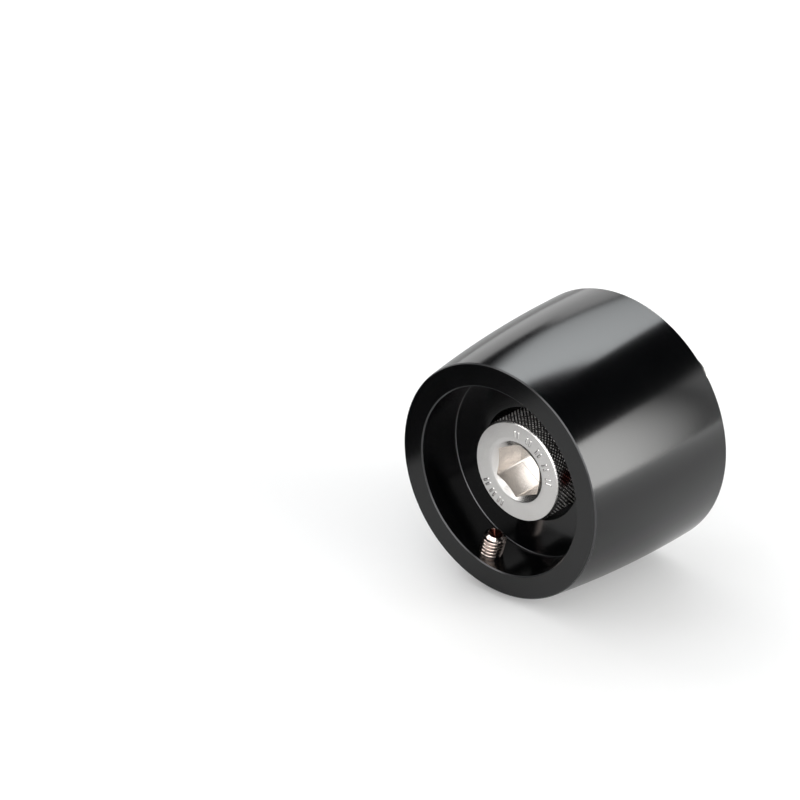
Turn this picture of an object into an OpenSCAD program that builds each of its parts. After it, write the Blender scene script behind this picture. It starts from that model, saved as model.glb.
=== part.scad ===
// Bar end weight: a turned barrel that closes the end of a motorcycle's handlebar.
// A cap screw in the floor of its open cup draws it against the bar, and a small set screw
// crosses the cup's wall. The bar's axis is Y: the origin is the centre of the face that seats
// on the bar, +Y runs into the bar, and the cup opens towards -Y. Sizes are in millimetres.

/* [Weight body] */
// Length from the open face to the seat face
body_length = 23.2; // [22:0.1:28]
// Diameter of the open face, at its outer corner
face_diameter = 30; // [28:0.1:36]
// How far the barrel's widest ring stands out past the open face, all round
crown = 1.53; // [0.5:0.01:3]
// Distance of the widest ring from the open face
girth_station = 21.4; // [16:0.1:21.9]
// Chamfer round the open face
face_chamfer = 0.25; // [0.1:0.05:0.8]
// Chamfer round the seat face
seat_chamfer = 0.5; // [0.2:0.05:1.5]

/* [Cup] */
// Diameter of the cup
cup_diameter = 24.1; // [22:0.1:26]
// Depth of the cup from the open face
cup_depth = 6.1; // [5.5:0.1:8]
// Chamfer round the cup's mouth
mouth_chamfer = 0.25; // [0.1:0.05:0.6]
// Fillet between the cup's wall and its floor
floor_fillet = 0.25; // [0.1:0.05:1]
// Depth from the open face to the ledge that the screw's head seats on
head_seat_depth = 11.45; // [9.5:0.05:13]
// Gap all round between the screw's head and its counterbore
head_clearance = 0.75; // [0.3:0.05:1.5]
// Gap all round between the screw's thread and its hole
thread_clearance = 0.5; // [0.2:0.05:0.8]

/* [Mounting screw] */
// Thread diameter of the mounting screw
screw_diameter = 8; // [6:0.5:9]
// Thread pitch of the mounting screw
screw_pitch = 1.25; // [0.75:0.25:1.5]
// Length of the mounting screw under its head
screw_length = 25; // [20:1:50]
// Chamfer at the end of the thread
screw_end_chamfer = 0.85; // [0.4:0.05:1.2]
// Diameter of the screw's head
head_diameter = 13; // [11:0.1:15]
// Height of the screw's head
head_height = 8; // [7:0.1:9]
// Chamfer round the top of the head
head_chamfer = 0.35; // [0.1:0.05:0.8]
// Width across the flats of the head's hexagon socket
key_width = 6.14; // [5:0.02:7]
// Depth of the hexagon socket
key_depth = 4.7; // [3:0.1:5.5]
// Diameter of the countersink round the socket's mouth
lead_in_diameter = 7.9; // [7:0.1:9]
// Full angle of that countersink
lead_in_angle = 120; // [90:5:140]
// Turn of the hexagon about the screw's axis
key_turn = 26.5; // [0:0.5:59.5]

/* [Set screw] */
// Thread diameter of the set screw
set_diameter = 3; // [2:0.5:3.5]
// Length of the set screw
set_length = 6; // [4:1:8]
// Distance of its axis from the open face
set_station = 2.6; // [2.4:0.05:3.4]
// Angle of its axis from straight down, towards -X
set_angle = 15; // [0:1:359]
// How far its outer end lies below the barrel's side
set_recess = 0.02; // [0:0.01:0.5]
// Gap all round between the set screw and its hole
set_clearance = 0.05; // [0.02:0.01:0.15]
// Chamfer at its outer end
set_end_chamfer = 0.3; // [0.1:0.05:0.4]
// Width across the flats of its hexagon socket
set_key_width = 1.52; // [1.2:0.02:1.6]
// Depth of its hexagon socket
set_key_depth = 1.6; // [1:0.1:2]
// Diameter of the hollow in its point
hollow_diameter = 1.5; // [0.8:0.1:1.5]
// Full angle of that hollow
hollow_angle = 118; // [90:1:140]
// Width of the flat rim round the hollow
hollow_rim = 0.05; // [0.02:0.01:0.15]

/* [Hidden] */

$fn = 96;
arc_fn = 720;      // the barrel's arc is long and shallow
hexagon_fn = 6;
cut_over = 1;      // how far a cut runs past the face that it opens

// Radii
face_r = face_diameter / 2;
girth_r = face_r + crown;
cup_r = cup_diameter / 2;
head_r = head_diameter / 2;
screw_r = screw_diameter / 2;
set_r = set_diameter / 2;
lead_in_r = lead_in_diameter / 2;
hollow_r = hollow_diameter / 2;
counterbore_r = head_r + head_clearance;
bore_r = screw_r + thread_clearance;

// Stations along the bar's axis
face_y = -body_length;
cup_floor_y = face_y + cup_depth;
head_seat_y = face_y + head_seat_depth;
head_top_y = head_seat_y - head_height;
screw_end_y = head_seat_y + screw_length;
girth_y = face_y + girth_station;
set_y = face_y + set_station;

// The barrel's outline is one arc, through the open face's corner and flat at the widest ring
arc_r = (girth_station * girth_station + crown * crown) / (2 * crown);
arc_x = girth_r - arc_r;
seat_r = barrel_r(0);

// Inside its hole, where nothing shows, the screw is drawn at its thread's pitch line
shank_r = pitch_radius(screw_r, screw_pitch);

// The set screw's two ends, as distances from the bar's axis
set_outer_r = barrel_r(set_y) - set_recess;
set_point_r = set_outer_r - set_length;

// Radius of the barrel's outside at a station on the bar's axis
function barrel_r(y) = arc_x + sqrt(arc_r * arc_r - (y - girth_y) * (y - girth_y));

// Pitch radius of a metric thread, from its outer radius
function pitch_radius(outer_r, pitch) = outer_r - 3 / 8 * pitch * cos(30);

// Radius of a hexagon's corners, from its width across flats
function corner_radius(width) = width / 2 / cos(30);

// Depth of a cone of this full angle that is this wide at its mouth
function cone_depth(mouth_r, angle) = mouth_r / tan(angle / 2);

// Turns a drawing of radius (X) and station (Y) about the bar's axis
module turned() {
    rotate([-90, 0, 0]) rotate_extrude() children();
}

// Puts a shape that is drawn along Z at a station on the bar's axis, pointing along it
module on_axis(station) {
    translate([0, station, 0]) rotate([-90, 0, 0]) children();
}

// Puts a shape that is drawn along Z on the set screw's axis, pointing out of the body
module on_set_axis() {
    translate([0, set_y, 0]) rotate([0, 180 + set_angle, 0]) children();
}

// Hexagonal prism along Z
module hexagon(width, height) {
    cylinder(r = corner_radius(width), h = height, $fn = hexagon_fn);
}

// Outline of the body's outside: the arc, cut square at both faces, with their chamfers
module barrel_section() {
    reach = girth_r + cut_over;
    face_rise = reach - (face_r - face_chamfer);
    seat_rise = reach - (seat_r - seat_chamfer);
    intersection() {
        translate([arc_x, girth_y]) circle(r = arc_r, $fn = arc_fn);
        polygon([
            [0, face_y],
            [face_r - face_chamfer, face_y],
            [reach, face_y + face_rise],
            [reach, -seat_rise],
            [seat_r - seat_chamfer, 0],
            [0, 0]
        ]);
    }
}

// Outline of what is bored out: the cup, the counterbore for the head and the screw's hole
module bore_section() {
    mouth_r = cup_r + mouth_chamfer + cut_over;
    difference() {
        polygon([
            [0, face_y - cut_over],
            [mouth_r, face_y - cut_over],
            [cup_r, face_y + mouth_chamfer],
            [cup_r, cup_floor_y],
            [counterbore_r, cup_floor_y],
            [counterbore_r, head_seat_y],
            [bore_r, head_seat_y],
            [bore_r, cut_over],
            [0, cut_over]
        ]);
        translate([cup_r - floor_fillet, cup_floor_y - floor_fillet]) difference() {
            square(floor_fillet + cut_over);
            circle(r = floor_fillet);
        }
    }
}

// The turned body, with the cross hole that the set screw sits in
module weight_body() {
    color("#1b1c1f") difference() {
        turned() difference() {
            barrel_section();
            bore_section();
        }
        on_set_axis() translate([0, 0, counterbore_r])
            cylinder(r = set_r + set_clearance, h = girth_r);
    }
}

// The cap screw: head with its hexagon socket, plain stretch in the hole, free threaded end
module mounting_screw() {
    lead_in_over = lead_in_r + cut_over * tan(lead_in_angle / 2);
    color("#a8a7a2") difference() {
        turned() polygon([
            [0, head_top_y],
            [head_r - head_chamfer, head_top_y],
            [head_r, head_top_y + head_chamfer],
            [head_r, head_seat_y],
            [shank_r, head_seat_y],
            [shank_r, 0],
            [screw_r, 0],
            [screw_r, screw_end_y - screw_end_chamfer],
            [screw_r - screw_end_chamfer, screw_end_y],
            [0, screw_end_y]
        ]);
        on_axis(head_top_y - cut_over) {
            rotate([0, 0, -key_turn]) hexagon(key_width, key_depth + cut_over);
            cylinder(r1 = lead_in_over, r2 = 0, h = cone_depth(lead_in_over, lead_in_angle));
        }
    }
}

// The set screw: its point stands in the cup, and its key socket opens at the barrel's side
module set_screw() {
    rim_r = hollow_r + hollow_rim;
    point_chamfer = set_r - rim_r;
    hollow_over = hollow_r + cut_over * tan(hollow_angle / 2);
    color("#8d8580") on_set_axis() difference() {
        rotate_extrude() polygon([
            [0, set_point_r],
            [rim_r, set_point_r],
            [set_r, set_point_r + point_chamfer],
            [set_r, set_outer_r - set_end_chamfer],
            [set_r - set_end_chamfer, set_outer_r],
            [0, set_outer_r]
        ]);
        translate([0, 0, set_point_r - cut_over])
            cylinder(r1 = hollow_over, r2 = 0, h = cone_depth(hollow_over, hollow_angle));
        translate([0, 0, set_outer_r - set_key_depth])
            hexagon(set_key_width, set_key_depth + cut_over);
    }
}

weight_body();
mounting_screw();
set_screw();
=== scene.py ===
import math

import bmesh
import bpy
from mathutils import Matrix, Vector


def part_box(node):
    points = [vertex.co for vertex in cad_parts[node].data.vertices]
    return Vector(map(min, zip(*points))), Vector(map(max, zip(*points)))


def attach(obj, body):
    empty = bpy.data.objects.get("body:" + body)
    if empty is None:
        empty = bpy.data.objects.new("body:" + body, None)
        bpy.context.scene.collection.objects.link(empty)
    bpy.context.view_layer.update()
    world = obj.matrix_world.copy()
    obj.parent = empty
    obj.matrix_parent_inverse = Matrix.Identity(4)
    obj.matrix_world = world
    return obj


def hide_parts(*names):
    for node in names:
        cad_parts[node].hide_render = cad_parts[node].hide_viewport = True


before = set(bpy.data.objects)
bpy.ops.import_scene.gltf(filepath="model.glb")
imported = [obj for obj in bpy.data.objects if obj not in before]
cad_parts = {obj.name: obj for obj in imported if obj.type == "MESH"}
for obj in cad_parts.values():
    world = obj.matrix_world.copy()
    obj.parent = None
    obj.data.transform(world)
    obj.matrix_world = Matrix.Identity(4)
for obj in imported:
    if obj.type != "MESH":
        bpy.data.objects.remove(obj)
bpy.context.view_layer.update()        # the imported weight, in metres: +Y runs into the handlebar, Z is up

mm = 0.001
fullTurn = 2 * math.pi
mergeGap = 2e-7          # points nearer than this are one point
nudge = 0.001            # keeps a whole count from falling just short of itself

bodyLow, bodyHigh = [Vector(corner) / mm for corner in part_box("weight_body")]
screwLow, screwHigh = [Vector(corner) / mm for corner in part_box("mounting_screw")]
faceY = bodyLow.y        # the open face
headTopY = screwLow.y    # the top of the cap screw's head
screwEndY = screwHigh.y  # the free end of its thread
girthRadius = (bodyHigh.x - bodyLow.x) / 2
layAlongBar = Matrix.Rotation(math.radians(-90), 4, "X")     # turns what is built along Z to +Y


# Small helpers for node trees

def wire(tree, value, socket):
    # a socket takes another node's output, or a plain value
    if isinstance(value, bpy.types.NodeSocket):
        tree.links.new(value, socket)
    else:
        socket.default_value = value


def addNode(tree, kind, inputs=None, **settings):
    node = tree.nodes.new(kind)
    for name, value in settings.items():
        setattr(node, name, value)
    for key, value in (inputs or {}).items():
        wire(tree, value, node.inputs[key])
    return node


def calc(tree, operation, *values, clamp=False):
    node = addNode(tree, "ShaderNodeMath", operation=operation, use_clamp=clamp)
    for socket, value in zip(node.inputs, values):
        wire(tree, value, socket)
    return node.outputs[0]


def product(tree, result, *factors):
    for factor in factors:
        result = calc(tree, "MULTIPLY", result, factor)
    return result


def ramp(tree, value, fromLow, fromHigh, toLow=0.0, toHigh=1.0, smooth=False):
    node = addNode(tree, "ShaderNodeMapRange", clamp=True)
    node.interpolation_type = "SMOOTHSTEP" if smooth else "LINEAR"
    for key, number in zip(range(5), (value, fromLow, fromHigh, toLow, toHigh)):
        wire(tree, number, node.inputs[key])
    return node.outputs[0]


def triangle(tree, count):
    # one at a whole count and nought half way between
    phase = calc(tree, "FRACT", calc(tree, "ADD", count, nudge))
    return calc(tree, "ABSOLUTE", calc(tree, "SUBTRACT", calc(tree, "MULTIPLY", phase, 2), 1))


def combine(tree, x=0.0, y=0.0, z=0.0):
    return addNode(tree, "ShaderNodeCombineXYZ", {0: x, 1: y, 2: z}).outputs[0]


def separate(tree, vector):
    return addNode(tree, "ShaderNodeSeparateXYZ", {0: vector}).outputs


def crosswise(tree, first, second):
    # the distance that two distances at right angles make
    squares = calc(tree, "ADD", product(tree, first, first), product(tree, second, second))
    return calc(tree, "SQRT", squares)


def newTree(name, inputs):
    tree = bpy.data.node_groups.new(name, "GeometryNodeTree")
    tree.interface.new_socket("Geometry", in_out="OUTPUT", socket_type="NodeSocketGeometry")
    tree.interface.new_socket("Geometry", in_out="INPUT", socket_type="NodeSocketGeometry")
    for label, kind in inputs.items():
        tree.interface.new_socket(label, in_out="INPUT", socket_type="NodeSocket" + kind)
    return tree, tree.nodes.new("NodeGroupInput").outputs


def closeTree(tree, geometry, finish):
    # every tree ends alike: real geometry, with its material
    realised = addNode(tree, "GeometryNodeRealizeInstances", {"Geometry": geometry}).outputs[0]
    painted = addNode(tree, "GeometryNodeSetMaterial", {"Geometry": realised, "Material": finish})
    tree.links.new(painted.outputs[0], tree.nodes.new("NodeGroupOutput").inputs[0])


def gridOfRows(tree, columns, rows):
    # a sheet of points: columns go round the axis, rows go along it
    sheet = addNode(tree, "GeometryNodeMeshGrid", {
        "Vertices X": calc(tree, "ADD", columns, 1), "Vertices Y": rows})
    index = addNode(tree, "GeometryNodeInputIndex").outputs[0]
    column = calc(tree, "FLOOR", calc(tree, "DIVIDE", calc(tree, "ADD", index, 0.5), rows))
    row = calc(tree, "SUBTRACT", index, calc(tree, "MULTIPLY", column, rows))
    return sheet.outputs["Mesh"], column, row


def wrapRound(tree, sheet, radius, angle, along):
    # rolls the sheet up round Z and joins its seam
    x = calc(tree, "MULTIPLY", radius, calc(tree, "COSINE", angle))
    y = calc(tree, "MULTIPLY", radius, calc(tree, "SINE", angle))
    rolled = addNode(tree, "GeometryNodeSetPosition", {
        "Geometry": sheet, "Position": combine(tree, x, y, along)}).outputs[0]
    joined = addNode(tree, "GeometryNodeMergeByDistance", {"Geometry": rolled, "Distance": mergeGap})
    return joined.outputs[0]


def addObject(name, data):
    item = bpy.data.objects.new(name, data)
    bpy.context.collection.objects.link(item)
    return item


def growPiece(name, tree, settings, finish, start=None):
    # runs a tree on a new object and keeps the result as its plain mesh
    piece = addObject(name, start or bpy.data.meshes.new(name))
    modifier = piece.modifiers.new("grow", "NODES")
    modifier.node_group = tree
    for item in tree.interface.items_tree:
        if item.name in settings:
            modifier[item.identifier] = settings[item.name]
        elif item.name == "Finish":
            modifier[item.identifier] = finish
    graph = bpy.context.evaluated_depsgraph_get()
    mesh = bpy.data.meshes.new_from_object(piece.evaluated_get(graph), depsgraph=graph)
    piece.modifiers.clear()
    piece.data = mesh
    mesh.materials.clear()
    mesh.materials.append(finish)
    mesh.polygons.foreach_set("material_index", [0] * len(mesh.polygons))
    return piece


# Trees that make the turned, threaded and knurled forms, each round Z and in metres

def turnedTree():
    tree, given = newTree("turned outline", {"Steps Round": "Int", "Finish": "Material"})
    outline = given["Geometry"]
    count = addNode(tree, "GeometryNodeAttributeDomainSize", {"Geometry": outline}).outputs["Point Count"]
    sheet, column, row = gridOfRows(tree, given["Steps Round"], count)
    place = addNode(tree, "GeometryNodeInputPosition").outputs[0]
    sample = addNode(tree, "GeometryNodeSampleIndex", {
        "Geometry": outline, "Value": place, "Index": row}, data_type="FLOAT_VECTOR")
    corner = separate(tree, sample.outputs[0])
    angle = calc(tree, "MULTIPLY", column, calc(tree, "DIVIDE", fullTurn, given["Steps Round"]))
    closeTree(tree, wrapRound(tree, sheet, corner["X"], angle, corner["Y"]), given["Finish"])
    return tree


def crossHoleTree():
    tree, given = newTree("cross hole", {
        "Hole Radius": "Float", "Hole Start": "Float", "Hole Length": "Float", "Hole Station": "Float",
        "Hole Turn": "Vector", "Steps Round": "Int", "Finish": "Material"})
    drill = addNode(tree, "GeometryNodeMeshCylinder", {
        "Vertices": given["Steps Round"], "Radius": given["Hole Radius"], "Depth": given["Hole Length"]})
    middle = calc(tree, "ADD", given["Hole Start"], calc(tree, "DIVIDE", given["Hole Length"], 2))
    raised = addNode(tree, "GeometryNodeTransform", {
        "Geometry": drill.outputs["Mesh"], "Translation": combine(tree, z=middle)})
    turned = addNode(tree, "GeometryNodeTransform", {
        "Geometry": raised.outputs[0], "Rotation": given["Hole Turn"],
        "Translation": combine(tree, y=given["Hole Station"])})
    cut = addNode(tree, "GeometryNodeMeshBoolean", operation="DIFFERENCE", solver="EXACT")
    wire(tree, given["Geometry"], cut.inputs["Mesh 1"])
    wire(tree, turned.outputs[0], cut.inputs["Mesh 2"])
    closeTree(tree, cut.outputs["Mesh"], given["Finish"])
    return tree


def limitByCones(tree, radius, along, given):
    # the 45 degree chamfers at both ends of a screw or a head
    fromLow = calc(tree, "ADD", given["Low End Radius"], calc(tree, "SUBTRACT", along, given["Low End"]))
    fromHigh = calc(tree, "ADD", given["High End Radius"], calc(tree, "SUBTRACT", given["High End"], along))
    return calc(tree, "MINIMUM", radius, calc(tree, "MINIMUM", fromLow, fromHigh))


threadDepthShare = 0.6134    # of the pitch, for a metric outer thread
threadFlat = 0.125           # of the pitch, at a rolled thread's rounded crest and again at its root


def threadTree():
    tree, given = newTree("thread", {
        "Outer Radius": "Float", "Pitch": "Float", "Thread Depth": "Float",
        "Low End": "Float", "High End": "Float", "Low End Radius": "Float", "High End Radius": "Float",
        "Steps Round": "Int", "Steps A Pitch": "Int", "Turn": "Float", "Finish": "Material"})
    length = calc(tree, "SUBTRACT", given["High End"], given["Low End"])
    pitches = calc(tree, "ADD", calc(tree, "CEIL", calc(tree, "DIVIDE", length, given["Pitch"])), 1)
    rows = calc(tree, "ADD", calc(tree, "MULTIPLY", pitches, given["Steps A Pitch"]), 1)
    sheet, column, row = gridOfRows(tree, given["Steps Round"], rows)
    turns = calc(tree, "DIVIDE", column, given["Steps Round"])
    pitchCount = calc(tree, "DIVIDE", row, given["Steps A Pitch"])
    # each row follows the helix, and stops at the end planes
    climb = calc(tree, "SUBTRACT", calc(tree, "ADD", pitchCount, turns), 1)
    along = calc(tree, "ADD", given["Low End"], calc(tree, "MULTIPLY", climb, given["Pitch"]))
    along = calc(tree, "MAXIMUM", given["Low End"], calc(tree, "MINIMUM", along, given["High End"]))
    wave = triangle(tree, pitchCount)
    height = ramp(tree, wave, threadFlat, 1 - threadFlat, smooth=True)
    drop = calc(tree, "MULTIPLY", given["Thread Depth"], calc(tree, "SUBTRACT", 1, height))
    radius = limitByCones(tree, calc(tree, "SUBTRACT", given["Outer Radius"], drop), along, given)
    angle = calc(tree, "ADD", given["Turn"], calc(tree, "MULTIPLY", turns, fullTurn))
    closeTree(tree, wrapRound(tree, sheet, radius, angle, along), given["Finish"])
    return tree


def knurlTree():
    tree, given = newTree("diamond knurl", {
        "Crest Radius": "Float", "Groove Depth": "Float", "Ridges Round": "Int", "Steps A Ridge": "Int",
        "Low End": "Float", "High End": "Float", "Low End Radius": "Float", "High End Radius": "Float",
        "Knurl Start": "Float", "Knurl Run": "Float", "Flank Slope": "Float", "Turn": "Float",
        "Finish": "Material"})
    columns = calc(tree, "MULTIPLY", given["Ridges Round"], given["Steps A Ridge"])
    stepAngle = calc(tree, "DIVIDE", fullTurn, columns)
    spacing = calc(tree, "MULTIPLY", given["Crest Radius"], stepAngle)
    length = calc(tree, "SUBTRACT", given["High End"], given["Low End"])
    rows = calc(tree, "ADD", calc(tree, "CEIL", calc(tree, "DIVIDE", length, spacing)), 1)
    sheet, column, row = gridOfRows(tree, columns, rows)
    along = calc(tree, "ADD", given["Low End"], calc(tree, "MULTIPLY", row, spacing))
    along = calc(tree, "MINIMUM", along, given["High End"])

    def groove(step):
        # nought at the bottom of a groove, one half way to the next
        ridges = calc(tree, "DIVIDE", step, given["Steps A Ridge"])
        return calc(tree, "SUBTRACT", 1, triangle(tree, ridges))

    leaning = groove(calc(tree, "ADD", column, row))
    crossing = groove(calc(tree, "SUBTRACT", column, row))
    # a slope over one reaches the top early, and leaves the crests flat
    lower = calc(tree, "MINIMUM", leaning, crossing)
    height = calc(tree, "MULTIPLY", lower, given["Flank Slope"], clamp=True)
    # the grooves start below the smooth chamfer and soon reach their full depth
    deepFrom = calc(tree, "ADD", given["Knurl Start"], given["Knurl Run"])
    deep = calc(tree, "MULTIPLY", given["Groove Depth"], ramp(tree, along, given["Knurl Start"], deepFrom))
    drop = calc(tree, "MULTIPLY", deep, calc(tree, "SUBTRACT", 1, height))
    radius = calc(tree, "SUBTRACT", limitByCones(tree, given["Crest Radius"], along, given), drop)
    angle = calc(tree, "ADD", given["Turn"], calc(tree, "MULTIPLY", column, stepAngle))
    closeTree(tree, wrapRound(tree, sheet, radius, angle, along), given["Finish"])
    return tree


def strokeTree():
    # a stroke's top, on the -Z side of its block, is shorter and narrower than its foot
    tree, given = newTree("raised strokes", {
        "Stroke Length": "Float", "Stroke Width": "Float", "Stroke Height": "Float",
        "Top Length Share": "Float", "Top Width Share": "Float", "Finish": "Material"})
    block = addNode(tree, "GeometryNodeMeshCube", {
        "Size": (1, 1, 1), "Vertices X": 6, "Vertices Y": 4, "Vertices Z": 3})
    apart = separate(tree, addNode(tree, "GeometryNodeInputPosition").outputs[0])
    lengthShare = ramp(tree, apart["Z"], -0.5, 0.5, given["Top Length Share"], 1.0)
    widthShare = ramp(tree, apart["Z"], -0.5, 0.5, given["Top Width Share"], 1.0)
    tapered = combine(tree, product(tree, apart["X"], lengthShare),
                      product(tree, apart["Y"], widthShare), apart["Z"])
    bar = addNode(tree, "GeometryNodeSetPosition", {"Geometry": block.outputs["Mesh"], "Position": tapered})
    turn = addNode(tree, "GeometryNodeInputNamedAttribute", {"Name": "turn"}, data_type="FLOAT")
    placed = addNode(tree, "GeometryNodeInstanceOnPoints", {
        "Points": given["Geometry"], "Instance": bar.outputs[0],
        "Rotation": combine(tree, z=turn.outputs["Attribute"]),
        "Scale": combine(tree, given["Stroke Length"], given["Stroke Width"], given["Stroke Height"])})
    closeTree(tree, placed.outputs[0], given["Finish"])
    return tree


# Outlines and rings, in millimetres

def roundedOutline(corners, steps=3):
    # corners are (radius, station, rounding): an arc rounds each, and flats keep a point beside it
    points = []
    total = len(corners)
    for i, (radius, station, rounding) in enumerate(corners):
        here = Vector((radius, station))
        before = Vector(corners[i - 1][:2]) - here
        after = Vector(corners[(i + 1) % total][:2]) - here
        if rounding == 0:
            points.append(here)
            continue
        half = before.angle(after) / 2
        reach = rounding / math.tan(half)
        before.normalize()
        after.normalize()
        centre = here + (before + after).normalized() * rounding / math.sin(half)
        first = here + before * reach - centre
        last = here + after * reach - centre
        points.append(here + before * (reach + rounding))
        sweep = first.angle_signed(last)
        for k in range(steps + 1):
            bent = first.copy()
            bent.rotate(Matrix.Rotation(-sweep * k / steps, 2))
            points.append(centre + bent)
        points.append(here + after * (reach + rounding))
    return points


def outlineMesh(name, points):
    mesh = bpy.data.meshes.new(name)
    mesh.from_pydata([(p.x * mm, p.y * mm, 0) for p in points], [], [])
    return mesh


def addRing(shape, steps, turn, radius, height):
    # radius and height are plain numbers or functions of the angle
    ring = []
    for k in range(steps):
        angle = turn + fullTurn * k / steps
        r = radius(angle) if callable(radius) else radius
        z = height(angle) if callable(height) else height
        ring.append(shape.verts.new((r * math.cos(angle) * mm, r * math.sin(angle) * mm, z * mm)))
    return ring


def joinRings(shape, lower, upper):
    # the wall between two rings, where the first may have several times as many points as the second
    share = len(lower) // len(upper)
    for k in range(len(upper)):
        wide = [lower[(k * share + j) % len(lower)] for j in range(share + 1)]
        shape.faces.new(wide + [upper[(k + 1) % len(upper)], upper[k]])


def closeRing(shape, ring, height):
    middle = shape.verts.new((0, 0, height * mm))
    for k in range(len(ring)):
        shape.faces.new((ring[k], ring[(k + 1) % len(ring)], middle))


def stackRings(shape, steps, turn, rings):
    # rings are (radius, height), each joined to the next
    made = [addRing(shape, steps, turn, radius, height) for radius, height in rings]
    for lower, upper in zip(made, made[1:]):
        joinRings(shape, lower, upper)
    return made


def hexagonRadius(width, turn, corner):
    # distance from the middle to a hexagon's side at an angle, with slightly rounded corners
    def radius(angle):
        fromFlat = (angle - turn) % (fullTurn / 6) - fullTurn / 12
        return min(width / 2 / math.cos(fromFlat), width / 2 / math.cos(fullTurn / 12) - corner)
    return radius


coneShares = (0.25, 0.5, 0.75, 0.97, 1.0)      # rings on the countersink, from its mouth to the hexagon
wallDrops = (0.04, 0.1)                        # rings below its edge, as shares of the socket's depth
# rings on the lower wall and the bottom, as shares of the depth and of the hexagon's size
bottomShares = ((0.5, 1.0), (0.9, 1.0), (0.99, 1.0), (1.0, 0.99), (1.0, 0.9), (1.0, 0.4))


def socketRings(mouthRadius, mouthHeight, hexRadius, coneSlope, depth, direction):
    # the countersink, the hexagon's walls and its bottom; direction is 1 where depth runs along +Z
    def cone(radius):
        return (mouthRadius - radius) * coneSlope

    rings = []
    for share in coneShares:
        def radius(angle, share=share):
            return mouthRadius + (hexRadius(angle) - mouthRadius) * share

        def height(angle, radius=radius):
            return mouthHeight + direction * cone(radius(angle))
        rings.append((radius, height))
    for drop in wallDrops:
        def height(angle, drop=drop):
            return mouthHeight + direction * (cone(hexRadius(angle)) + drop * depth)
        rings.append((hexRadius, height))
    for share, shrink in bottomShares:
        def radius(angle, shrink=shrink):
            return hexRadius(angle) * shrink
        rings.append((radius, mouthHeight + direction * share * depth))
    return rings


def newShape(*pieces):
    shape = bmesh.new()
    for piece in pieces:
        shape.from_mesh(piece.data)
    return shape


def finishShape(piece, shape, placing, sharpAngle):
    # merges what meets, points every face outwards and puts the shape in its place
    bmesh.ops.remove_doubles(shape, verts=shape.verts, dist=mergeGap)
    bmesh.ops.dissolve_degenerate(shape, dist=mergeGap, edges=shape.edges)
    bmesh.ops.recalc_face_normals(shape, faces=shape.faces)
    bmesh.ops.transform(shape, matrix=placing, verts=shape.verts)
    shape.to_mesh(piece.data)
    shape.free()
    piece.data.shade_smooth()
    piece.data.set_sharp_from_angle(angle=math.radians(sharpAngle))


def joinPieces(name, parts):
    with bpy.context.temp_override(active_object=parts[0], selected_editable_objects=parts):
        bpy.ops.object.join()
    parts[0].name = name
    return parts[0]


# Weight body

bodySettings = {
    "faceRadius": 15.0, "girthStation": 21.4, "faceChamfer": 0.12, "seatChamfer": 0.5,
    "cupRadius": 12.05, "cupDepth": 6.1, "mouthChamfer": 0.15, "floorFillet": 0.18,
    "headSeatDepth": 11.45, "counterboreRadius": 7.25, "holeRadius": 4.5,
    "crossHoleRadius": 1.55, "crossHoleSteps": 96,
    "edgeBreak": 0.03, "stepsRound": 288, "barrelRings": 48, "sharpAngle": 30.0,
}


def barrelArc():
    # radius of the arc and of its centre: through the face's corner, and level at the widest ring
    station = bodySettings["girthStation"]
    crown = girthRadius - bodySettings["faceRadius"]
    radius = (station ** 2 + crown ** 2) / (2 * crown)
    return radius, girthRadius - radius


def barrelRadius(y):
    arcRadius, centre = barrelArc()
    return centre + math.sqrt(arcRadius ** 2 - (y - faceY - bodySettings["girthStation"]) ** 2)


def bodyOutline():
    s = bodySettings
    soft = s["edgeBreak"]
    floorY = faceY + s["cupDepth"]
    ledgeY = faceY + s["headSeatDepth"]
    faceSlope = s["girthStation"] / barrelArc()[0]
    barrelStart = faceY + s["faceChamfer"] / (1 - faceSlope)
    barrelEnd = -s["seatChamfer"]
    barrel = []
    for k in range(s["barrelRings"] + 1):
        y = barrelStart + (barrelEnd - barrelStart) * k / s["barrelRings"]
        atEnd = k in (0, s["barrelRings"])
        barrel.append((barrelRadius(y), y, soft if atEnd else 0))
    corners = [(s["faceRadius"] - s["faceChamfer"], faceY, soft)] + barrel + [
        (barrelRadius(0) - s["seatChamfer"], 0, soft),
        (s["holeRadius"], 0, soft),
        (s["holeRadius"], ledgeY, soft),
        (s["counterboreRadius"], ledgeY, soft),
        (s["counterboreRadius"], floorY, soft),
        (s["cupRadius"], floorY, s["floorFillet"]),
        (s["cupRadius"], faceY + s["mouthChamfer"], soft),
        (s["cupRadius"] + s["mouthChamfer"], faceY, soft),
    ]
    points = roundedOutline(corners)
    return points + points[:1]


def makeBody(finish):
    s = bodySettings
    outline = outlineMesh("body outline", bodyOutline())
    turned = growPiece("turned_body", turnedTree(), {"Steps Round": s["stepsRound"]}, finish, outline)
    finishShape(turned, newShape(turned), layAlongBar, s["sharpAngle"])
    barrel = growPiece("barrel", crossHoleTree(), {
        "Hole Radius": s["crossHoleRadius"] * mm,
        "Hole Start": s["counterboreRadius"] * mm,
        "Hole Length": girthRadius * mm,
        "Hole Station": (faceY + setScrewSettings["station"]) * mm,
        "Hole Turn": (0, math.radians(180 + setScrewSettings["angle"]), 0),
        "Steps Round": s["crossHoleSteps"]}, finish, turned.data)
    bpy.data.objects.remove(turned)
    finishShape(barrel, newShape(barrel), Matrix.Identity(4), s["sharpAngle"])
    return barrel


# Mounting screw, built with its head's top at nought and its thread running along +Z

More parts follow.
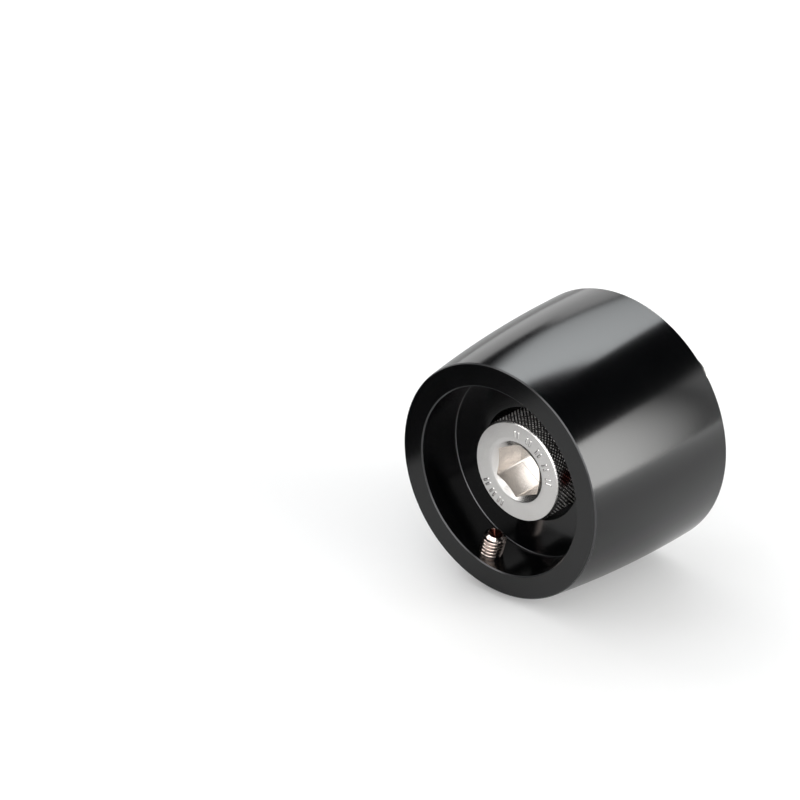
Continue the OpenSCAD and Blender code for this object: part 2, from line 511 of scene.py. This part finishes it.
mountingSettings = {
    "headRadius": 6.5, "headHeight": 8.0, "headChamfer": 0.24, "footChamfer": 0.25,
    "knurlStart": 0.16, "knurlRun": 0.2, "ridgesRound": 76, "stepsARidge": 6, "grooveDepth": 0.17,
    "flankSlope": 1.25,
    "keyWidth": 6.34, "keyDepth": 4.7, "keyTurn": 26.5, "keyCorner": 0.05,
    "leadInRadius": 3.95, "leadInSlope": math.tan(math.radians(30)), "leadInBreak": (0.03, 0.01),
    "flatRings": (5.4, 4.5), "flatInset": 0.06,
    "threadRadius": 4.0, "pitch": 1.25, "endChamfer": 0.85, "endInset": 0.1,
    "stepsRound": 90, "stepsAPitch": 16, "sharpAngle": 32.0,
    "strokeLength": 1.05, "strokeWidth": 0.38, "strokeHeight": 0.16, "strokeSink": 0.05,
    "strokeGap": 0.56, "topLengthShare": 0.79, "topWidthShare": 0.3,
    # first angle, step, how many and the ring's radius
    "strokeArcs": ((91.0, -21.6, 5, 4.95), (-146.7, 15.0, 3, 5.45)),
}


def makeStrokes(finish):
    # plain raised strokes in pairs, on two arcs of the head's top
    s = mountingSettings
    middle = s["strokeSink"] - s["strokeHeight"] / 2
    places = []
    turns = []
    for start, step, count, ring in s["strokeArcs"]:
        for k in range(count):
            for side in (-1, 1):
                angle = -math.radians(start + step * k) + side * s["strokeGap"] / 2 / ring
                places.append((ring * math.cos(angle) * mm, ring * math.sin(angle) * mm, middle * mm))
                turns.append(angle)
    spots = bpy.data.meshes.new("stroke spots")
    spots.from_pydata(places, [], [])
    turn = spots.attributes.new("turn", "FLOAT", "POINT")
    turn.data.foreach_set("value", turns)
    strokes = growPiece("strokes", strokeTree(), {
        "Stroke Length": s["strokeLength"] * mm, "Stroke Width": s["strokeWidth"] * mm,
        "Stroke Height": s["strokeHeight"] * mm, "Top Length Share": s["topLengthShare"],
        "Top Width Share": s["topWidthShare"]}, finish, spots)
    strokes.data.shade_smooth()
    return strokes


def makeMountingScrew(finish):
    s = mountingSettings
    turn = -math.radians(s["keyTurn"])
    end = screwEndY - headTopY
    topRadius = s["headRadius"] - s["headChamfer"]
    footRadius = s["headRadius"] - s["footChamfer"]
    neckRadius = s["threadRadius"] - s["endChamfer"]
    head = growPiece("head_side", knurlTree(), {
        "Crest Radius": s["headRadius"] * mm, "Groove Depth": s["grooveDepth"] * mm,
        "Ridges Round": s["ridgesRound"], "Steps A Ridge": s["stepsARidge"],
        "Low End": 0.0, "High End": s["headHeight"] * mm,
        "Low End Radius": topRadius * mm, "High End Radius": footRadius * mm,
        "Knurl Start": s["knurlStart"] * mm, "Knurl Run": s["knurlRun"] * mm,
        "Flank Slope": s["flankSlope"], "Turn": turn}, finish)
    thread = growPiece("thread", threadTree(), {
        "Outer Radius": s["threadRadius"] * mm, "Pitch": s["pitch"] * mm,
        "Thread Depth": s["pitch"] * threadDepthShare * mm,
        "Low End": s["headHeight"] * mm, "High End": end * mm,
        "Low End Radius": neckRadius * mm, "High End Radius": neckRadius * mm,
        "Steps Round": s["stepsRound"], "Steps A Pitch": s["stepsAPitch"], "Turn": turn}, finish)
    strokes = makeStrokes(finish)
    shape = newShape(head, thread)

    # the head's flat top, its socket, its foot and the thread's free end close the two sides
    columns = s["ridgesRound"] * s["stepsARidge"]
    mouthInset, mouthDrop = s["leadInBreak"]
    flatRadii = (topRadius, topRadius - s["flatInset"], *s["flatRings"], s["leadInRadius"] + mouthInset)
    hexRadius = hexagonRadius(s["keyWidth"], turn, s["keyCorner"])
    socket = socketRings(s["leadInRadius"], mouthDrop, hexRadius, s["leadInSlope"], s["keyDepth"], 1)
    rings = [(radius, 0) for radius in flatRadii] + [(s["leadInRadius"], mouthDrop)] + socket
    top = stackRings(shape, columns, turn, rings)
    closeRing(shape, top[-1], s["keyDepth"] + mouthDrop)
    foot = addRing(shape, columns, turn, footRadius, s["headHeight"])
    neck = addRing(shape, s["stepsRound"], turn, neckRadius, s["headHeight"])
    joinRings(shape, foot, neck)
    tip = stackRings(shape, s["stepsRound"], turn, [(neckRadius, end), (neckRadius - s["endInset"], end)])
    closeRing(shape, tip[-1], end)
    finishShape(head, shape, Matrix.Identity(4), s["sharpAngle"])
    bpy.data.objects.remove(thread)
    screw = joinPieces("cap_screw", [head, strokes])
    screw.data.transform(Matrix.Translation((0, headTopY * mm, 0)) @ layAlongBar)
    return screw


# Set screw, built round Z with its length measured from the weight's own axis

setScrewSettings = {
    "station": 2.6, "angle": 15.0, "radius": 1.5, "pitch": 0.5, "length": 6.0, "recess": 0.02,
    "endChamfer": 0.32, "endInset": 0.02, "rimWidth": 0.05,
    "hollowRadius": 0.90, "hollowSlope": 1 / math.tan(math.radians(59)), "hollowBreak": (0.01, 0.02),
    "hollowShares": (0.4, 0.8),
    "keyWidth": 1.52, "keyDepth": 1.6, "keyCorner": 0.02, "leadInWidth": 0.04, "leadInSlope": 0.6,
    "stepsRound": 72, "stepsAPitch": 16, "threadTurn": 180.0, "sharpAngle": 32.0,
}


def makeSetScrew(finish):
    s = setScrewSettings
    station = faceY + s["station"]
    outer = barrelRadius(station) - s["recess"]
    point = outer - s["length"]
    rimRadius = s["hollowRadius"] + s["rimWidth"]
    outerRadius = s["radius"] - s["endChamfer"]
    screw = growPiece("grub_screw", threadTree(), {
        "Outer Radius": s["radius"] * mm, "Pitch": s["pitch"] * mm,
        "Thread Depth": s["pitch"] * threadDepthShare * mm, "Low End": point * mm, "High End": outer * mm,
        "Low End Radius": rimRadius * mm, "High End Radius": outerRadius * mm,
        "Steps Round": s["stepsRound"], "Steps A Pitch": s["stepsAPitch"],
        "Turn": math.radians(s["threadTurn"])}, finish)
    shape = newShape(screw)

    # the point's hollow
    deep = s["hollowRadius"] * s["hollowSlope"]
    edge = s["hollowRadius"]
    before, after = s["hollowBreak"]
    rings = [(rimRadius, point), (edge + before, point), (edge - after, point + after)]
    rings += [(edge * (1 - share), point + deep * share) for share in s["hollowShares"]]
    hollow = stackRings(shape, s["stepsRound"], 0, rings)
    closeRing(shape, hollow[-1], point + deep)

    # the outer end's key socket
    hexRadius = hexagonRadius(s["keyWidth"], 0, s["keyCorner"])
    mouth = s["keyWidth"] / 2 / math.cos(fullTurn / 12) + s["leadInWidth"]
    rings = [(radius, outer) for radius in (outerRadius, outerRadius - s["endInset"], mouth)]
    rings += socketRings(mouth, outer, hexRadius, s["leadInSlope"], s["keyDepth"], -1)
    socket = stackRings(shape, s["stepsRound"], 0, rings)
    closeRing(shape, socket[-1], outer - s["keyDepth"])
    turnOut = Matrix.Rotation(math.radians(180 + s["angle"]), 4, "Y")
    finishShape(screw, shape, Matrix.Translation((0, station * mm, 0)) @ turnOut, s["sharpAngle"])
    return screw


# Materials, all on Object coordinates. Each look's pairs are distances in millimetres over which
# a colour, a painted highlight or a painted shade comes in, from a place that the material names

def newMaterial(name):
    material = bpy.data.materials.new(name)
    material.use_nodes = True
    tree = material.node_tree
    shader = tree.nodes["Principled BSDF"]
    place = addNode(tree, "ShaderNodeTexCoord").outputs["Object"]
    apart = separate(tree, place)
    return material, tree, shader, place, apart, crosswise(tree, apart["X"], apart["Z"])


def noise(tree, vector, scale, detail=2.0, roughness=0.5):
    node = addNode(tree, "ShaderNodeTexNoise", {
        "Vector": vector, "Scale": scale, "Detail": detail, "Roughness": roughness})
    return node.outputs["Fac"]


def mixColours(tree, share, first, second):
    node = addNode(tree, "ShaderNodeMix", data_type="RGBA")
    wire(tree, share, node.inputs["Factor"])
    for socket, value in zip([i for i in node.inputs if i.type == "RGBA"], (first, second)):
        wire(tree, value, socket)
    return [o for o in node.outputs if o.type == "RGBA"][0]


def grey(level, warm=0.0):
    return (level * (1 + warm), level, level * (1 - warm), 1)


def fade(tree, value, limits, start=0.0):
    # nought to one between two distances from a place
    return ramp(tree, value, (start + limits[0]) * mm, (start + limits[1]) * mm)


def roughenAndBump(tree, shader, base, spread, pattern, relief):
    # one pattern varies the roughness and gives the surface its relief
    uneven = calc(tree, "MULTIPLY", calc(tree, "SUBTRACT", pattern, 0.5), spread)
    wire(tree, calc(tree, "ADD", base, uneven), shader.inputs["Roughness"])
    bump = addNode(tree, "ShaderNodeBump", {"Strength": 1.0, "Distance": relief * mm, "Height": pattern})
    wire(tree, bump.outputs[0], shader.inputs["Normal"])


anodisedLook = {
    "colour": (0.0006, 0.0007, 0.0009, 1), "worn": (0.0012, 0.0013, 0.0015, 1),
    "cloudsPerMetre": 180.0, "cloudEdges": (0.35, 0.7),
    "roughness": 0.15, "roughnessSpread": 0.06,
    "markSpacing": 0.22, "markRelief": 0.00022, "markDrift": 0.02,
    # edge is a grey metal for the painted highlight on both rims and on the cup floor's fillet
    "edge": (0.10, 0.10, 0.104, 1), "edgeRoughness": 0.25, "rimGlint": 0.45,
    "glintStart": (0.004, 0.02), "rimEnd": (0.21, 0.15), "filletEnd": (0.19, 0.14),
    "filletInside": (-0.3, -0.2), "filletOutside": (0.4, 0.2),
}


def blackAnodised():
    look = anodisedLook
    cupRadius = bodySettings["cupRadius"]
    cupFloor = (faceY + bodySettings["cupDepth"]) * mm
    material, tree, shader, place, apart, radius = newMaterial("black_anodised")
    # turning marks run round the axis on walls and faces alike
    drawn = combine(tree, calc(tree, "ADD", apart["Y"], radius),
                    calc(tree, "MULTIPLY", apart["X"], look["markDrift"]),
                    calc(tree, "MULTIPLY", apart["Z"], look["markDrift"]))
    marks = noise(tree, drawn, 1 / (look["markSpacing"] * mm), 3.0, 0.6)
    cloud = noise(tree, place, look["cloudsPerMetre"], 3.0)
    colour = mixColours(tree, ramp(tree, cloud, *look["cloudEdges"]), look["colour"], look["worn"])
    # painted highlight: both rims and the fillet round the cup's floor get a grey metal band that brightens
    # their highlight lines
    fromFace = calc(tree, "SUBTRACT", apart["Y"], faceY * mm)
    fromFloor = calc(tree, "SUBTRACT", cupFloor, apart["Y"])
    rims = product(tree, fade(tree, fromFace, look["glintStart"]), fade(tree, fromFace, look["rimEnd"]))
    fillet = product(tree, fade(tree, fromFloor, look["glintStart"]),
                     fade(tree, fromFloor, look["filletEnd"]),
                     fade(tree, radius, look["filletInside"], cupRadius),
                     fade(tree, radius, look["filletOutside"], cupRadius))
    edge = calc(tree, "MAXIMUM", product(tree, rims, look["rimGlint"]), fillet)
    wire(tree, edge, shader.inputs["Metallic"])
    wire(tree, mixColours(tree, edge, colour, look["edge"]), shader.inputs["Base Color"])
    base = ramp(tree, edge, 0.0, 1.0, look["roughness"], look["edgeRoughness"])
    roughenAndBump(tree, shader, base, look["roughnessSpread"], marks, look["markRelief"])
    return material


stainlessLook = {
    "face": grey(0.72, 0.02), "thread": grey(0.48, 0.02), "socket": grey(0.72, 0.04),
    # groove is painted shade: a darker grey for the knurl's grooves than for its crests
    "groove": grey(0.30, 0.03), "stain": grey(0.40, 0.05), "stainShare": 0.12,
    "stainsPerMetre": 700.0, "stainEdges": (0.3, 0.7),
    "roughness": 0.25, "socketRoughness": 0.21, "roughnessSpread": 0.10,
    "grainSize": 0.10, "grainRelief": 0.0020,
    # where each colour comes in: across the socket's mouth, down the head's side and along the axis
    "socketEdge": (0.02, -0.05), "socketDrop": (0.02, 0.3),
    "sideDrop": (0.22, 0.4), "sideEdge": (-0.7, -0.4),
    "ridgeEdge": (-0.09, -0.03), "threadStart": (-0.1, 0.1),
    "crestMatt": 0.55, "crestLow": 0.1, "crestHigh": 2.0,
    "crestsPerMetre": 1900.0, "crestEdges": (0.38, 0.62),
    "patch": (0.10, 0.030, 0.026, 1), "patchAngle": 8.0, "patchDepth": 1.5, "patchReach": (1.6, 0.64),
}


def stainless():
    look = stainlessLook
    headRadius = mountingSettings["headRadius"]
    material, tree, shader, place, apart, radius = newMaterial("stainless_screw")
    inSocket = product(tree, fade(tree, radius, look["socketEdge"], mountingSettings["leadInRadius"]),
                       fade(tree, apart["Y"], look["socketDrop"], headTopY))
    onSide = product(tree, fade(tree, apart["Y"], look["sideDrop"], headTopY),
                     fade(tree, radius, look["sideEdge"], headRadius))
    # painted shade: the knurl's grooves take the darker groove grey, and its crests the face grey
    ridge = fade(tree, radius, look["ridgeEdge"], headRadius)
    side = mixColours(tree, ridge, look["groove"], look["face"])
    colour = mixColours(tree, inSocket, look["face"], look["socket"])
    colour = mixColours(tree, onSide, colour, side)
    colour = mixColours(tree, fade(tree, apart["Y"], look["threadStart"]), colour, look["thread"])
    stain = noise(tree, place, look["stainsPerMetre"], 3.0)
    stained = ramp(tree, stain, *look["stainEdges"], 0.0, look["stainShare"])
    colour = mixColours(tree, stained, colour, look["stain"])
    # a brown patch low on the knurl's right
    turn = math.radians(look["patchAngle"])
    spot = Vector((
        headRadius * math.cos(turn), headTopY + look["patchDepth"], headRadius * math.sin(turn))) * mm
    away = addNode(tree, "ShaderNodeVectorMath", {0: place, 1: spot}, operation="DISTANCE").outputs["Value"]
    patch = product(tree, onSide, fade(tree, away, look["patchReach"]))
    wire(tree, mixColours(tree, patch, colour, look["patch"]), shader.inputs["Base Color"])
    # the knurl's flattened crests are matt and catch any light, some more than others
    crests = noise(tree, place, look["crestsPerMetre"], 2.0)
    uneven = ramp(tree, crests, *look["crestEdges"], look["crestLow"], look["crestHigh"])
    matt = product(tree, onSide, ridge, uneven, look["crestMatt"])
    wire(tree, calc(tree, "SUBTRACT", 1, matt), shader.inputs["Metallic"])
    base = ramp(tree, inSocket, 0.0, 1.0, look["roughness"], look["socketRoughness"])
    grain = noise(tree, place, 1 / (look["grainSize"] * mm), 3.0, 0.6)
    roughenAndBump(tree, shader, base, look["roughnessSpread"], grain, look["grainRelief"])
    return material


setScrewLook = {
    # this dark reddish brown serves both the rust specks and the painted shade in the point's hollow
    "colour": (0.78, 0.68, 0.63, 1), "rustAndShade": (0.24, 0.08, 0.06, 1), "rustShare": 0.35,
    "rustPerMetre": 2500.0, "rustEdges": (0.5, 0.75),
    "roughness": 0.13, "roughnessSpread": 0.12, "grainSize": 0.10, "grainRelief": 0.0006,
    "hollowEdge": (0.02, -0.1), "hollowEnd": (1.2, 0.8),
}


def setScrewSteel():
    look = setScrewLook
    s = setScrewSettings
    material, tree, shader, place, apart, _ = newMaterial("set_screw_steel")
    shader.inputs["Metallic"].default_value = 1.0
    # distances out from the weight's axis along the screw, and from the screw's own axis
    turn = math.radians(s["angle"])
    outward = calc(tree, "ADD", calc(tree, "MULTIPLY", apart["X"], -math.sin(turn)),
                   calc(tree, "MULTIPLY", apart["Z"], -math.cos(turn)))
    sideways = calc(tree, "SUBTRACT", calc(tree, "MULTIPLY", apart["X"], math.cos(turn)),
                    calc(tree, "MULTIPLY", apart["Z"], math.sin(turn)))
    alongBar = calc(tree, "SUBTRACT", apart["Y"], (faceY + s["station"]) * mm)
    fromAxis = crosswise(tree, sideways, alongBar)
    point = barrelRadius(faceY + s["station"]) - s["recess"] - s["length"]
    # painted shade: the point's hollow takes the dark reddish brown all over, and rust specks are scattered
    # elsewhere
    inHollow = product(tree, fade(tree, fromAxis, look["hollowEdge"], s["hollowRadius"]),
                       fade(tree, outward, look["hollowEnd"], point))
    specks = ramp(tree, noise(tree, place, look["rustPerMetre"], 2.0), *look["rustEdges"])
    rustAndHollowShade = calc(tree, "MAXIMUM", inHollow, calc(tree, "MULTIPLY", specks, look["rustShare"]))
    wire(tree, mixColours(tree, rustAndHollowShade, look["colour"], look["rustAndShade"]), shader.inputs["Base Color"])
    grain = noise(tree, place, 1 / (look["grainSize"] * mm), 3.0, 0.6)
    roughenAndBump(tree, shader, look["roughness"], look["roughnessSpread"], grain, look["grainRelief"])
    return material


# Studio: pale floor, white surround, soft boxes and a black card

def emptyTree(owner):
    # a material's or a world's node tree, without the nodes that it starts with
    owner.use_nodes = True
    owner.node_tree.nodes.clear()
    return owner.node_tree


def endTree(tree, shader, kind):
    tree.links.new(shader.outputs[0], tree.nodes.new(kind).inputs["Surface"])


def mirroredRay(tree):
    # one for what gloss and metal see
    light = addNode(tree, "ShaderNodeLightPath").outputs
    return calc(tree, "MAXIMUM", light["Is Glossy Ray"], light["Is Transmission Ray"])


def addSheet(name, material, right, up):
    # one flat face: right and up reach from its middle to its sides
    corners = [i * right + j * up for i, j in ((-1, -1), (1, -1), (1, 1), (-1, 1))]
    mesh = bpy.data.meshes.new(name)
    mesh.from_pydata(corners, [], [(0, 1, 2, 3)])
    mesh.materials.append(material)
    return addObject(name, mesh)


def aimFrom(azimuth, elevation):
    # directions to the right, up and away, as seen from a place at these angles round the weight
    azimuth = math.radians(azimuth)
    elevation = math.radians(elevation)
    level = math.cos(elevation)
    away = Vector((math.sin(azimuth) * level, -math.cos(azimuth) * level, math.sin(elevation)))
    right = Vector((math.cos(azimuth), math.sin(azimuth), 0))
    return right, away.cross(right), away


floorSettings = {
    "lyingTilt": 2.5, "halfWidth": 2500.0, "albedo": 0.87, "cameraGlow": 0.13,
    # what gloss and metal see of the floor: shaded on the left, and brighter near the right box
    "leftShare": 0.60, "middleShare": 1.02, "rightRise": 2.4,
    "leftEnd": -45.0, "middle": 25.0, "rightStart": 50.0, "rightEnd": 350.0,
}


def layFloor():
    # the weight lies on its curved side with its open face a little down: the floor is tilted to meet it
    s = floorSettings
    tilt = math.radians(s["lyingTilt"])
    arcRadius, centre = barrelArc()
    touchY = faceY + bodySettings["girthStation"] - arcRadius * math.sin(tilt)
    touchZ = -(centre + arcRadius * math.cos(tilt))
    material = bpy.data.materials.new("pale_floor")
    tree = emptyTree(material)
    x = separate(tree, addNode(tree, "ShaderNodeTexCoord").outputs["Object"])["X"]
    # painted shade on the left and painted light towards the right box, seen only by gloss and metal
    share = calc(tree, "ADD",
                 ramp(tree, x, s["leftEnd"] * mm, s["middle"] * mm, s["leftShare"], s["middleShare"]),
                 ramp(tree, x, s["rightStart"] * mm, s["rightEnd"] * mm, 0.0, s["rightRise"]))
    level = ramp(tree, mirroredRay(tree), 0.0, 1.0, s["albedo"], calc(tree, "MULTIPLY", share, s["albedo"]))
    paint = addNode(tree, "ShaderNodeBsdfDiffuse", {"Color": combine(tree, level, level, level)})
    # the camera sees it a little lighter, with its shadow kept
    seen = addNode(tree, "ShaderNodeLightPath").outputs["Is Camera Ray"]
    glow = addNode(tree, "ShaderNodeEmission", {
        "Color": grey(1.0), "Strength": calc(tree, "MULTIPLY", seen, s["cameraGlow"])})
    both = addNode(tree, "ShaderNodeAddShader", {0: paint.outputs[0], 1: glow.outputs[0]})
    endTree(tree, both, "ShaderNodeOutputMaterial")
    half = s["halfWidth"] * mm
    floor = addSheet("floor", material, Vector((half, 0, 0)), Vector((0, half, 0)))
    floor.location = (0, touchY * mm, touchZ * mm)
    floor.rotation_euler = (-tilt, 0, 0)


worldSettings = {"fill": 0.60, "mirrorLow": 1.45, "mirrorHigh": 0.006, "edgeLow": 0.40, "edgeHigh": 0.52}


def makeSurround():
    # white for the camera; metal sees white round the horizon and a dark studio overhead
    s = worldSettings
    world = bpy.data.worlds.new("surround")
    bpy.context.scene.world = world
    tree = emptyTree(world)
    mirrored = mirroredRay(tree)
    up = separate(tree, addNode(tree, "ShaderNodeTexCoord").outputs["Generated"])["Z"]
    mirror = ramp(tree, up, s["edgeLow"], s["edgeHigh"], s["mirrorLow"], s["mirrorHigh"], smooth=True)
    strength = calc(tree, "ADD", calc(tree, "MULTIPLY", calc(tree, "SUBTRACT", 1, mirrored), s["fill"]),
                    calc(tree, "MULTIPLY", mirrored, mirror))
    seen = addNode(tree, "ShaderNodeLightPath").outputs["Is Camera Ray"]
    glow = addNode(tree, "ShaderNodeBackground", {
        "Color": grey(1.0), "Strength": calc(tree, "MAXIMUM", strength, seen)})
    endTree(tree, glow, "ShaderNodeOutputWorld")


# strength is what gloss and metal see, and diffuse is what lights the floor; left, right, low and
# high are the shares of the box over which it fades at its edges
softBoxes = {
    "top_box": {
        "azimuth": -148.4, "elevation": 44.0, "width": 434.0, "height": 380.0,
        "strength": 7.4, "diffuse": 1.3, "lowShare": 0.20, "tint": (0.965, 1.0, 1.015, 1),
        "left": 0.05, "right": 0.25, "low": 0.15, "high": 0.1},
    "right_box": {
        "azimuth": 112.0, "elevation": 11.2, "width": 540.0, "height": 495.0,
        "strength": 9.0, "diffuse": 0.2, "lowShare": 1.0, "tint": (1.0, 1.0, 0.985, 1),
        "left": 0.05, "right": 0.4, "low": 0.16, "high": 0.05},
    "front_box": {
        "azimuth": 28.0, "elevation": 30.0, "width": 760.0, "height": 585.0,
        "strength": 3.3, "diffuse": 0.2, "lowShare": 1.0, "tint": grey(1.0),
        "left": 0.2, "right": 0.15, "low": 0.15, "high": 0.1},
    "side_box": {
        "azimuth": -36.0, "elevation": 36.0, "width": 330.0, "height": 420.0,
        "strength": 3.2, "diffuse": 0.2, "lowShare": 1.0, "tint": grey(1.0),
        "left": 0.15, "right": 0.15, "low": 0.15, "high": 0.15},
    "left_box": {
        "azimuth": -105.0, "elevation": 42.0, "width": 600.0, "height": 420.0,
        "strength": 0.0, "diffuse": 4.1, "lowShare": 1.0, "tint": grey(1.0),
        "left": 0.2, "right": 0.2, "low": 0.2, "high": 0.2},
}
boxDistance = 600.0


def makeSoftBox(name, s):
    material = bpy.data.materials.new(name)
    tree = emptyTree(material)
    apart = separate(tree, addNode(tree, "ShaderNodeTexCoord").outputs["Object"])
    across = calc(tree, "ADD", apart["X"], 0.5)
    upward = calc(tree, "ADD", apart["Y"], 0.5)
    matt = addNode(tree, "ShaderNodeLightPath").outputs["Is Diffuse Ray"]
    level = product(tree, ramp(tree, matt, 0.0, 1.0, s["strength"], s["diffuse"]),
                    ramp(tree, upward, 0.0, 1.0, s["lowShare"], 1.0))
    fromEdges = {"left": across, "right": calc(tree, "SUBTRACT", 1, across),
                 "low": upward, "high": calc(tree, "SUBTRACT", 1, upward)}
    for side, distance in fromEdges.items():
        level = product(tree, level, ramp(tree, distance, 0.0, s[side], smooth=True))
    glow = addNode(tree, "ShaderNodeEmission", {"Color": s["tint"], "Strength": level})
    endTree(tree, glow, "ShaderNodeOutputMaterial")
    box = addSheet(name, material, Vector((0.5, 0, 0)), Vector((0, 0.5, 0)))
    right, up, away = aimFrom(s["azimuth"], s["elevation"])
    middle = (away * boxDistance + Vector((0, faceY / 2, 0))) * mm
    turn = Matrix((right, up, away)).transposed().to_4x4()
    size = Matrix.Diagonal((s["width"] * mm, s["height"] * mm, 1, 1))
    box.matrix_world = Matrix.Translation(middle) @ turn @ size
    box.visible_camera = False


flagSettings = {
    "right": -28.6, "front": 29.1, "height": -4.0, "width": 72.0, "tall": 25.0, "facing": -86.2,
    "albedo": 0.004, "roughness": 0.9,
}


def standFlag():
    # a black card beside the open face, which only gloss and metal see
    s = flagSettings
    half = s["width"] / 2 * mm
    tall = s["tall"] / 2 * mm
    material = bpy.data.materials.new("black_card")
    material.use_nodes = True
    shader = material.node_tree.nodes["Principled BSDF"]
    shader.inputs["Base Color"].default_value = grey(s["albedo"])
    shader.inputs["Roughness"].default_value = s["roughness"]
    flag = addSheet("flag", material, Vector((half, 0, 0)), Vector((0, 0, tall)))
    flag.location = (s["right"] * mm, (faceY - s["front"]) * mm, s["height"] * mm)
    flag.rotation_euler = (0, 0, math.radians(s["facing"]))
    flag.visible_camera = False
    flag.visible_diffuse = False
    flag.visible_shadow = False


# Camera, placed from the middle of the open face

cameraSettings = {
    "azimuth": 42.32, "elevation": 27.80, "distance": 424.2, "across": -11.56, "above": 9.74,
    "lens": 161.16, "sensor": 36.0,
}


def placeCamera():
    s = cameraSettings
    right, up, back = aimFrom(s["azimuth"], s["elevation"])
    spot = Vector((0, faceY, 0)) + right * s["across"] + up * s["above"] + back * s["distance"]
    data = bpy.data.cameras.new("camera")
    data.lens = s["lens"]
    data.sensor_width = s["sensor"]
    data.clip_start = 0.01
    data.clip_end = 50
    camera = addObject("camera", data)
    camera.matrix_world = Matrix.Translation(spot * mm) @ Matrix((right, up, back)).transposed().to_4x4()
    bpy.context.scene.camera = camera


def mount(piece, node):
    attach(piece, "root")
    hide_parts(node)
    print(piece.name, len(piece.data.polygons), "faces")


placeCamera()
makeSurround()
layFloor()
for boxName, boxSettings in softBoxes.items():
    makeSoftBox(boxName, boxSettings)
standFlag()
print("studio ready")

mount(makeBody(blackAnodised()), "weight_body")
mount(makeMountingScrew(stainless()), "mounting_screw")
mount(makeSetScrew(setScrewSteel()), "set_screw")

bpy.context.scene.view_settings.view_transform = "Standard"
